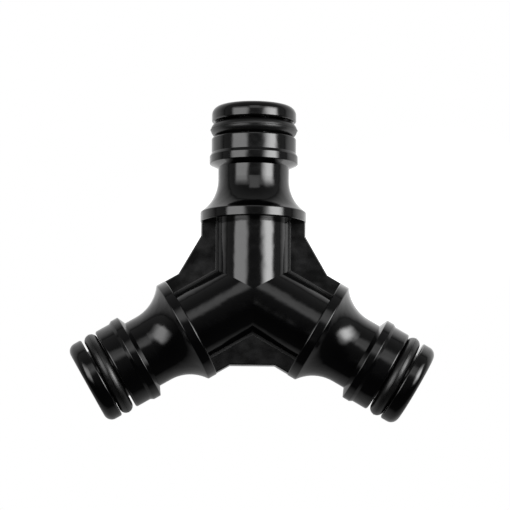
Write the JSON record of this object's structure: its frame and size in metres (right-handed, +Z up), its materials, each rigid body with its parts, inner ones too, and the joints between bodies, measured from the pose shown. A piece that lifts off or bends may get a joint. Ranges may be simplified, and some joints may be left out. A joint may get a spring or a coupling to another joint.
{
  "type": "three-way push-fit hose connector",
  "caption": "Black plastic Y connector for tubing: equal push-fit male spigots with O-rings, set evenly round a webbed hub with water bores that meet in the middle.",
  "frame": {"origin": "the point where the three arm axes meet, which is the centroid", "axes": "arms in the XY plane, top arm along +Y, left arm at 210 degrees and right arm at 330 degrees from +X, +Z up, so the part lies on the rims of its three collars"},
  "size_m": [0.0682, 0.0596, 0.02],
  "materials": {
    "moulding": "glossy black moulded plastic, the web faces slightly matt",
    "seal": "satin black rubber with a fine moulding line"
  },
  "bodies": {
    "root": {"body": "moulding", "o_ring_top": "seal", "o_ring_left": "seal", "o_ring_right": "seal"}
  },
  "joints": []
}
